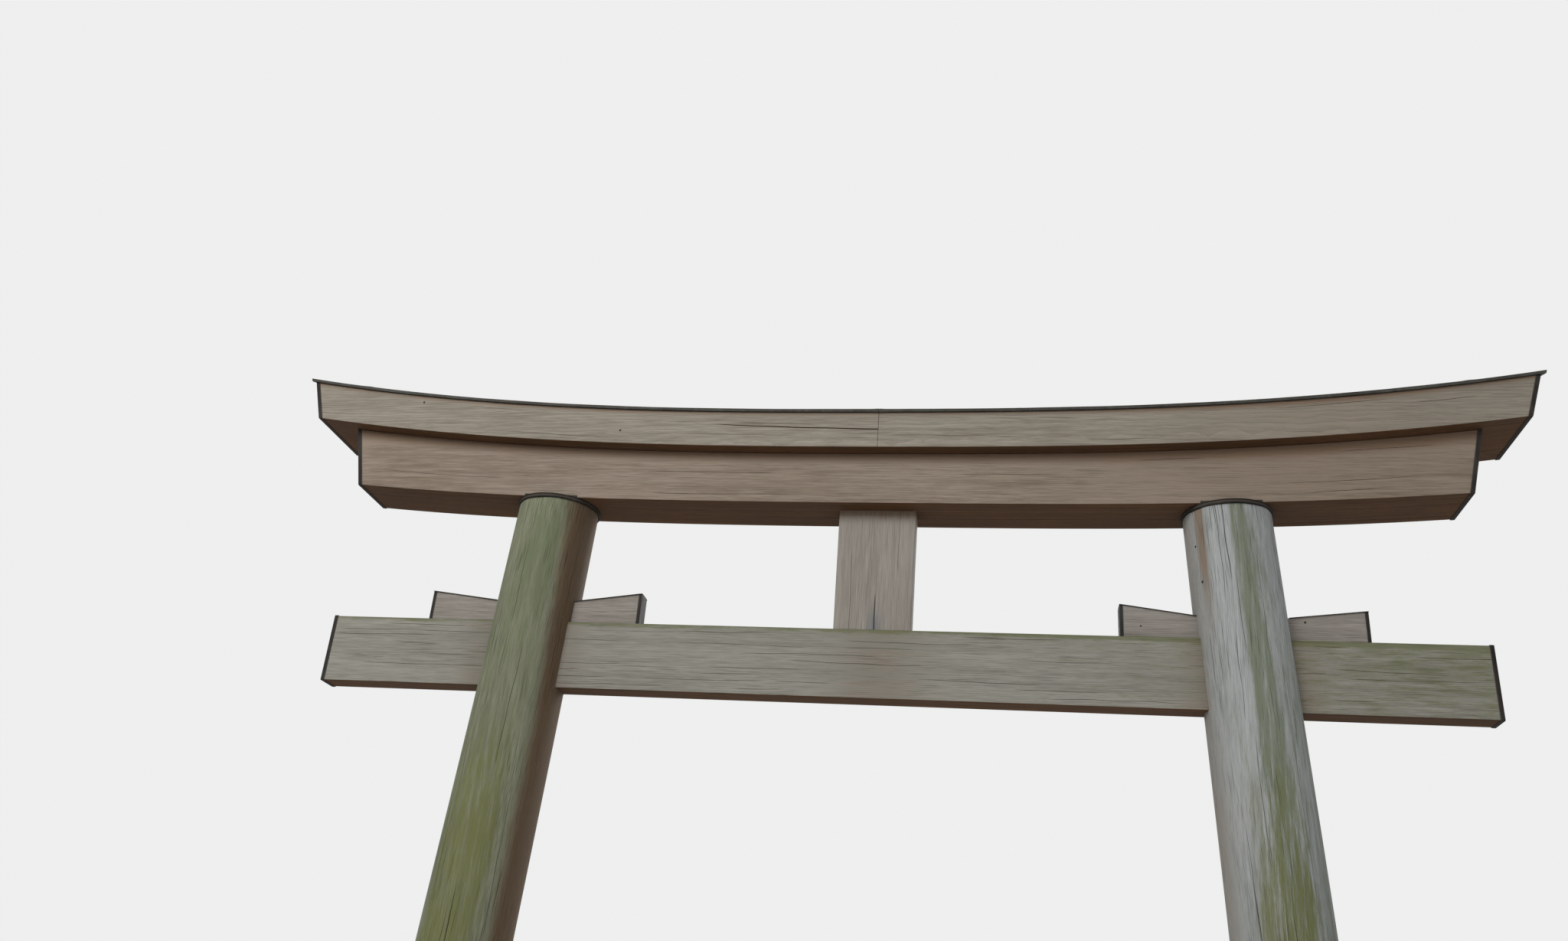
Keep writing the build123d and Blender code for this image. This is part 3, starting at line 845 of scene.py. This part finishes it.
def end_cap(name, form, place, u, flange, seed, open_top=math.inf):
    """Copper folded over a timber's end. The timber's outline is grown, carried past the end
    and drawn together to its middle, with the slight hollows of sheet nailed at its edges. It
    goes no higher than open_top over the timber's underside."""
    out, past, draw = cover_path(flange)
    y, h = (form.points[:, i] + form.normals[:, i] * out for i in (0, 1))
    h = np.minimum(h, open_top)
    middle = form.points.mean(0)
    y, h = y + (middle[0] - y) * draw, h + (middle[1] - h) * draw
    buckle = 0.0009 * waves(np.random.default_rng(seed), y, h, 0.35, 1, 3) * (draw > 0)
    x, z = place(u, h, past + np.minimum(buckle, 0.0008))
    worn_fold_and_highlight = np.clip(1 - np.abs(past - SHEET) / 0.004, 0, 1) * (draw < 0.05) \
        + (past < -flange + 0.003)
    return surface(name, (x, y, z), {"worn_fold_and_highlight": np.clip(worn_fold_and_highlight, 0, 1)}, smooth_angle=40)


def wedge_cap(side, which, seed):
    """Copper over a wedge: a folded box over its end, and a sheet along its sloping top that
    overhangs both faces with a lip and runs 12 mm into the pillar. The box goes no lower than
    the wedge, which lies on the tie beam."""
    shape = wedge_shape(side, which)
    box = end_cap(f"{side}_{which}_box",
                  outline(squared(-shape.half, shape.half, shape.height), CAP_ROWS, CAP_EASE),
                  lambda u, h, past: shape.place(u, np.maximum(h, 0), past), 1, WEDGE_FLANGE,
                  seed)
    reach = shape.half + WEDGE_COVER_OVERHANG
    across, up = outline(squared(-reach, reach, SHEET), (0.02, 0.004) * 2, 0.0012).points.T
    away = 1 if which == "outer" else -1
    start = pillar_axis(tie_high.z) + away * (pillar_radius(tie_high.z) - 0.012)
    x = np.linspace(math.copysign(start, shape.end), shape.end + shape.outward * SHEET, 16)[:, None]
    top = shape.level + shape.height - shape.slope * np.abs(shape.end - x)
    lip = -0.004 * np.clip(np.abs(across) / reach, 0, 1) ** 12
    cover = surface(f"{side}_{which}_sheet", (x, across, top + up + lip),
                    {"worn_fold_and_highlight": np.abs(across) > reach - 0.003})
    return joined(f"{side}_{which}_wedge_copper", [box, cover])


SEAM_SPACING = 0.909    # copper sheets of three shaku, lapped one over the next
SEAM_WIDTH = 0.024


def seam_relief(x):
    """Height of the flat lock seams between the copper sheets: a low step every sheet, in the
    form 1 minus the sixth power of the distance over half the seam's width."""
    phase = (np.abs(x) / SEAM_SPACING) % 1.0
    off = np.minimum(phase, 1 - phase) * SEAM_SPACING
    return np.clip(1 - (off / (SEAM_WIDTH / 2)) ** 6, 0, 1)


def roof_stations():
    """Stations along half the roof as shares of it, close together beside each seam."""
    seams = np.arange(1, int(UPPER_HALF_LENGTH / SEAM_SPACING) + 1) * SEAM_SPACING
    beside = np.array([-0.016, -0.0125, -0.011, 0.011, 0.0125, 0.016])
    near = (seams[:, None] + beside).ravel() / UPPER_HALF_LENGTH
    return np.sort(np.concatenate([np.linspace(0.0004, 1, 90), near[near < 0.995]]))[:, None]


ROOF_STATIONS = roof_stations()


def roof_board(slope_name, side, front, sign):
    """A copper-wrapped board on one slope: thick as the eave edge that shows from below, with
    lock seams across it and a folded drip along the eave."""
    reach = UPPER_DEPTH / 2 + EAVE_OVERHANG
    eave = GABLE_RISE - GABLE_FALL * reach
    corners = [(front * 0.0005, GABLE_RISE), (front * reach, eave),
               (front * reach, eave + ROOF_THICKNESS),
               (front * 0.0005, GABLE_RISE + ROOF_THICKNESS)]
    spacing = (0.05, 0.004, 0.02, 0.01)
    if front < 0:
        corners, spacing = corners[::-1], (0.02, 0.004, 0.05, 0.01)
    form = outline(corners, spacing, 0.003)
    (across, up), (normal_y, normal_h) = form.points.T, form.normals.T
    rng = np.random.default_rng(31 + 2 * sign + front)
    x, z = upper_place(sign * ROOF_STATIONS, UPPER_HEIGHT + up, END_OVERHANG)
    seams = seam_relief(x)
    raised = 0.0022 * seams
    wave = 0.0012 * waves(rng, x, across, 0.7, 1, 3)
    lift = raised + np.clip(wave, -0.002, 0.0015) * (normal_h > 0.5)
    worn_fold_and_highlight = np.clip(0.6 * seams + (np.abs(across) > reach - 0.002), 0, 1)
    return surface(f"roof_{slope_name}_{side}_copper",
                   (x, across + normal_y * raised * 0.6, z + normal_h * lift), {"worn_fold_and_highlight": worn_fold_and_highlight})


def ridge_cover(side, sign):
    """Folded copper over the ridge, with a small turned edge on both sides."""
    width, drop = RIDGE_HALF_WIDTH, GABLE_FALL * RIDGE_HALF_WIDTH
    top = [(width, RIDGE_THICKNESS - drop), (0, RIDGE_THICKNESS), (-width, RIDGE_THICKNESS - drop)]
    form = outline([(-width, -drop), (0, 0), (width, -drop)] + top, 0.02, 0.0012)
    (across, up), normal_h = form.points.T, form.normals[:, 1]
    base = UPPER_HEIGHT + GABLE_RISE + ROOF_THICKNESS
    x, z = upper_place(sign * ROOF_STATIONS, base + up, END_OVERHANG - 0.001)
    lift = -0.0012 * (1 - seam_relief(x)) * (normal_h > 0.5)
    return surface(f"ridge_{side}_copper", (x, across, z + lift),
                   {"worn_fold_and_highlight": np.abs(across) > width - 0.003})


def pillar_disc(side, sign):
    """The copper-clad disc on a pillar's head: a flat-sided rim between two rolled beads, as
    thick all over as the gap between the pillar and the swept lintel, with a flashing strip
    turned up against the lintel's front and back."""
    bead, rim = 0.0035, 0.991
    roll = np.radians(np.linspace(-90, 90, 6))
    bulge = 1 - bead / DISC_RADIUS * (1 - np.cos(roll))
    rise = bead / DISC_THICKNESS
    out = np.concatenate([[0.60, 0.985], bulge, [rim, rim], bulge, [0.985, 0.60]])[:, None]
    high = np.concatenate([[0, 0], rise * (1 + np.sin(roll)), [0.27, 0.73],
                           1 - rise * (1 - np.sin(roll)), [1, 1]])[:, None]
    around = np.linspace(0, 2 * math.pi, 160, endpoint=False)
    centre = pillar_axis(HEAD_LEVEL + 0.01)
    radius = DISC_RADIUS * out
    x = centre + radius * np.cos(around)
    z = lower_line(x) - DISC_THICKNESS * (1 - high)
    # The flat rim between the beads gets the lighter fold colour as a painted highlight.
    parts = [surface(f"{side}_disc_plate", (sign * x, radius * np.sin(around), z),
                     {"worn_fold_and_highlight": np.abs(out - rim) < 0.0005})]
    face = LOWER_DEPTH / 2
    skin = face + SHEET
    strip = outline([(face, 0.0), (skin + 0.012, 0.0), (skin + 0.012, 0.0016), (skin, 0.003),
                     (skin, FLASHING_HEIGHT), (face, FLASHING_HEIGHT)],
                    (0.01, 0.004, 0.01, 0.01, 0.004, 0.01), 0.0007)
    across, up = strip.points.T
    half_chord = math.sqrt(DISC_RADIUS ** 2 - skin ** 2) - 0.004
    along = half_chord * np.linspace(-1, 1, 24)[:, None]
    room = np.sqrt(DISC_RADIUS ** 2 - along ** 2) - 0.002
    y = np.minimum(across, np.maximum(room, skin))
    for front in (-1, 1):
        parts.append(surface(f"{side}_flashing",
                             (sign * (centre + along), front * y, lower_line(centre + along) + up),
                             {"worn_fold_and_highlight": up > 0.012}))
    return joined(f"{side}_disc_copper", parts)


def nail_heads(name, base, normal, radius=0.0042, height=0.0016):
    """Low domed nail heads, one on each base point, facing the level direction normal."""
    across, down = np.cross(normal, (0, 0, 1))[:, None], np.array([0, 0, -1])
    turn = np.linspace(0, 2 * math.pi, 8, endpoint=False)[:, None]
    points = np.stack([base[:, None] + normal[:, None] * height * lift
                       + radius * share * (across * np.cos(turn) + down * np.sin(turn))
                       for share, lift in ((1.0, 0.0), (0.8, 0.75), (0.3, 1.0))], 1)
    index = np.arange(len(base) * 24).reshape(-1, 3, 8)
    ahead = np.roll(index, -1, axis=2)
    quads = np.stack([index[:, :-1], ahead[:, :-1], ahead[:, 1:], index[:, 1:]], -1).reshape(-1, 4)
    return mesh_object(name, points,
                       quads.tolist() + index[:, 2].tolist() + index[:, 0, ::-1].tolist())


def foot_band(side, sign):
    """Copper band round the pillar's foot: a cylinder of sheet with a rolled upper edge, a
    lapped seam at the back and two rows of small nails."""
    bead = 0.003
    roll = np.radians(np.linspace(-60, 180, 8))
    height = np.concatenate([[0.0], np.linspace(0.0, BAND_HEIGHT - 2 * bead, 20),
                             BAND_HEIGHT - bead + bead * np.sin(roll)])[:, None]
    out = np.concatenate([[-0.004], np.full(20, SHEET),
                          SHEET - bead + bead * np.cos(roll)])[:, None]
    around = np.linspace(0, 2 * math.pi, 200, endpoint=False)
    level = stone_high.z + height
    seam = 0.0012 * np.exp(-((around - 0.5 * math.pi) / 0.03) ** 2)
    radius = pillar_radius(level) + out - 0.0019 + seam
    z = level + np.clip(height / BAND_HEIGHT, 0, 1) * PILLAR_LEAN * radius * np.cos(around)
    x = sign * (pillar_axis(z) + radius * np.cos(around))
    band = surface(f"{side}_band_sheet", (x, radius * np.sin(around), z),
                   {"worn_fold_and_highlight": height > BAND_HEIGHT - 3 * bead}, capped=False)
    edge = np.array([[0.018], [BAND_HEIGHT - 0.022]])
    angle = np.linspace(0, 2 * math.pi, 24, endpoint=False)
    level = stone_high.z + edge
    reach = pillar_radius(level) + 0.0008
    tilt = edge / BAND_HEIGHT * PILLAR_LEAN * pillar_radius(level)
    spots = np.stack([sign * (pillar_axis(level) + reach * np.cos(angle)),
                      reach * np.sin(angle), level + tilt * np.cos(angle)], -1)
    normals = np.stack([sign * np.cos(angle), np.sin(angle), np.zeros(24)], -1)
    nails = nail_heads(f"{side}_band_nails", spots.reshape(-1, 3), np.tile(normals, (2, 1)))
    return joined(f"{side}_foot_copper", [band, nails])


# Base stones

STONE_EDGE_HEIGHT, STONE_TOP_RADIUS = 0.055, 0.350


def base_stone(side, sign):
    """A round stone: upright rim, a quarter of an ellipse up to the flat top, and the fine
    uneven pits of hammer dressing."""
    radius, centre = (stone_high.x - stone_low.x) / 2, (stone_low.x + stone_high.x) / 2
    height = stone_high.z
    angle = np.linspace(0, math.pi / 2, 26)
    rim = np.linspace(0, STONE_EDGE_HEIGHT, 12)[:-1]
    r = np.concatenate([[0.05, 0.25], np.full(len(rim), radius),
                        STONE_TOP_RADIUS + (radius - STONE_TOP_RADIUS) * np.cos(angle),
                        [0.33, 0.30, 0.2, 0.05]])[:, None]
    h = np.concatenate([[0, 0], rim, STONE_EDGE_HEIGHT + (height - STONE_EDGE_HEIGHT)
                        * np.sin(angle), np.full(4, height)])[:, None]
    around = np.linspace(0, 2 * math.pi, 260, endpoint=False)
    pits = np.random.default_rng(151 + sign).uniform(0, 1, (len(r), len(around)))
    pits = (pits + np.roll(pits, 1, 1) + np.roll(pits, 1, 0)) / 3
    lumps = np.sin(4 * around + sign) * np.sin(23 * h) + np.sin(7 * around + 2)
    inward = (0.0024 * pits + 0.0015 * (1.2 + lumps)) * ((h > 0.004) & (r > 0.30))
    downward = np.clip((h - STONE_EDGE_HEIGHT) / 0.1, 0, 1) * (r > STONE_TOP_RADIUS - 0.001)
    r, h = r - inward, h - inward * downward
    return surface(f"{side}_footing_stone",
                   (sign * (centre + r * np.cos(around)), r * np.sin(around), h), smooth_angle=60)


# The gate, piece by piece

SIDES = (("left", -1), ("right", 1))
SEAM_GAP = 0.0006       # how far the lower lintel's timbers stand back from their seam

finish_piece(tie_beam(), tie_wood, "tie_beam")
finish_piece(strut(), strut_wood, "strut")
seam_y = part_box("lower_lintel_front")[1].y
finish_piece(lower_lintel("front", -LOWER_DEPTH / 2, seam_y - SEAM_GAP, 41), lower_wood,
             "lower_lintel_front")
finish_piece(lower_lintel("back", seam_y + SEAM_GAP, LOWER_DEPTH / 2, 51), lower_wood,
             "lower_lintel_back")
tie_end = outline(squared(tie_low.y, tie_high.y, TIE_HEIGHT), CAP_ROWS, CAP_EASE)
lower_end = outline(squared(-LOWER_DEPTH / 2, LOWER_DEPTH / 2, LOWER_HEIGHT), CAP_ROWS, CAP_EASE)
upper_end = outline(gabled(), CAP_ROWS, CAP_EASE)
for side, sign in SIDES:
    finish_piece(pillar(side, sign), logs[side], f"{side}_pillar")
    finish_piece(upper_lintel(side, sign), upper_wood, f"upper_lintel_{side}")
    for which, seed in (("outer", 61), ("inner", 67)):
        finish_piece(wedge(side, which, seed + sign), wedge_wood,
                     f"{side}_{which}_wedge")
        finish_piece(wedge_cap(side, which, seed + 20 + sign), cap_copper,
                     f"{side}_{which}_wedge_cap")
    finish_piece(end_cap(f"{side}_tie_beam_copper", tie_end, tie_place, sign, BEAM_FLANGE,
                         6 + sign), cap_copper, f"{side}_tie_beam_cap")
    finish_piece(end_cap(f"lower_lintel_{side}_copper", lower_end, lower_place, sign, END_FLANGE,
                         15 + sign, LOWER_HEIGHT), cap_copper, f"lower_cap_{side}")
    finish_piece(end_cap(f"upper_lintel_{side}_copper", upper_end, upper_place, sign, END_FLANGE,
                         25 + sign), cap_copper, f"upper_cap_{side}")
    finish_piece(pillar_disc(side, sign), cap_copper, f"{side}_disc")
    finish_piece(foot_band(side, sign), cap_copper, f"{side}_foot_band")
    finish_piece(base_stone(side, sign), granite, f"{side}_base_stone")
    for slope_name, front in (("front", -1), ("back", 1)):
        finish_piece(roof_board(slope_name, side, front, sign), roof_copper,
                     f"roof_{slope_name}_{side}")
    finish_piece(ridge_cover(side, sign), roof_copper, f"ridge_cover_{side}")


# Floor, light and camera

def seen_ray(tree):
    """1 for what the camera, metal and glass see, 0 for light on its way to the gate."""
    path = add(tree, "LightPath", {}, None)
    seen = add(tree, "Math", {0: path["Is Camera Ray"], 1: path["Is Glossy Ray"]},
               operation="MAXIMUM")
    return add(tree, "Math", {0: seen, 1: path["Is Transmission Ray"]}, operation="MAXIMUM")


def pale_floor():
    """A wide plain floor of matt paint. Most of what is seen of it is its own pale colour, so
    that it stays pale far from the lamps and still shows the gate's shadow."""
    reach, own_colour = 60.0, 0.7
    floor = surface("floor", ([-reach, reach], [[-reach], [reach]], 0.0), round_columns=False,
                    capped=False)
    material, tree, shader, _ = new_material("pale_floor_paint")
    feed(tree, shader, {"Base Color": "d9d7d2", "Roughness": 0.9})
    glow = add(tree, "Emission", {"Color": "e8e8e6", "Strength": 1.0})
    share = add(tree, "Math", {0: seen_ray(tree), 1: own_colour}, operation="MULTIPLY")
    mixed = add(tree, "MixShader", {0: share, 1: shader.outputs[0], 2: glow})
    feed(tree, tree.nodes["Material Output"], {"Surface": mixed})
    floor.data.materials.append(material)


def soft_lamp(name, place, target, size, power):
    """A square soft box that faces a point."""
    lamp = bpy.data.lights.new(name, "AREA")
    lamp.size = size
    lamp.energy = power
    made = bpy.data.objects.new(name, lamp)
    bpy.context.scene.collection.objects.link(made)
    made.location = place
    made.rotation_euler = (Vector(target) - Vector(place)).to_track_quat("-Z", "Y").to_euler()


def studio_light():
    """A pale world that the camera, metal and glass see at full strength and that lights the
    gate more softly, a large key from the front left, a fill from the right and a back light."""
    world = bpy.data.worlds.new("studio")
    bpy.context.scene.world = world
    world.use_nodes = True
    tree = world.node_tree
    tree.nodes.clear()
    lit = add(tree, "Background", {"Color": "dfe5ee", "Strength": 0.40})
    shown = add(tree, "Background", {"Color": "eeefee", "Strength": 1.0})
    mixed = add(tree, "MixShader", {0: seen_ray(tree), 1: lit, 2: shown})
    add(tree, "OutputWorld", {0: mixed}, None)
    soft_lamp("key", (-7.5, -11.0, 10.5), (0, 0, 4.2), 6.0, 1420)
    soft_lamp("fill", (9.0, -10.0, 5.0), (0, 0, 4.0), 7.0, 300)
    soft_lamp("back", (3.0, 11.0, 9.0), (0, 0, 4.0), 7.0, 700)


def photo_camera():
    """The camera of the photograph: standing eye height, looking up, turned a little to the
    left and tilted by a few degrees."""
    eye = (0.8611, -7.9857, 1.5501)
    yaw, pitch, roll = 0.1881, 0.4308, 0.0847
    focal_share = 1724.36 / 2048    # focal length over picture width, in pixels of the photo
    forward = Vector((-math.sin(yaw) * math.cos(pitch), math.cos(yaw) * math.cos(pitch),
                      math.sin(pitch)))
    level = Vector((math.cos(yaw), math.sin(yaw), 0))
    upright = level.cross(forward)
    right = level * math.cos(roll) + upright * math.sin(roll)
    up = upright * math.cos(roll) - level * math.sin(roll)
    lens = bpy.data.cameras.new("camera")
    lens.sensor_width = 36.0
    lens.lens = focal_share * lens.sensor_width
    lens.clip_end = 500
    camera = bpy.data.objects.new("camera", lens)
    bpy.context.scene.collection.objects.link(camera)
    turned = Matrix((right, up, -forward)).transposed()
    camera.matrix_world = Matrix.Translation(eye) @ turned.to_4x4()
    bpy.context.scene.camera = camera


pale_floor()
studio_light()
photo_camera()
bpy.context.scene.view_settings.view_transform = "Standard"
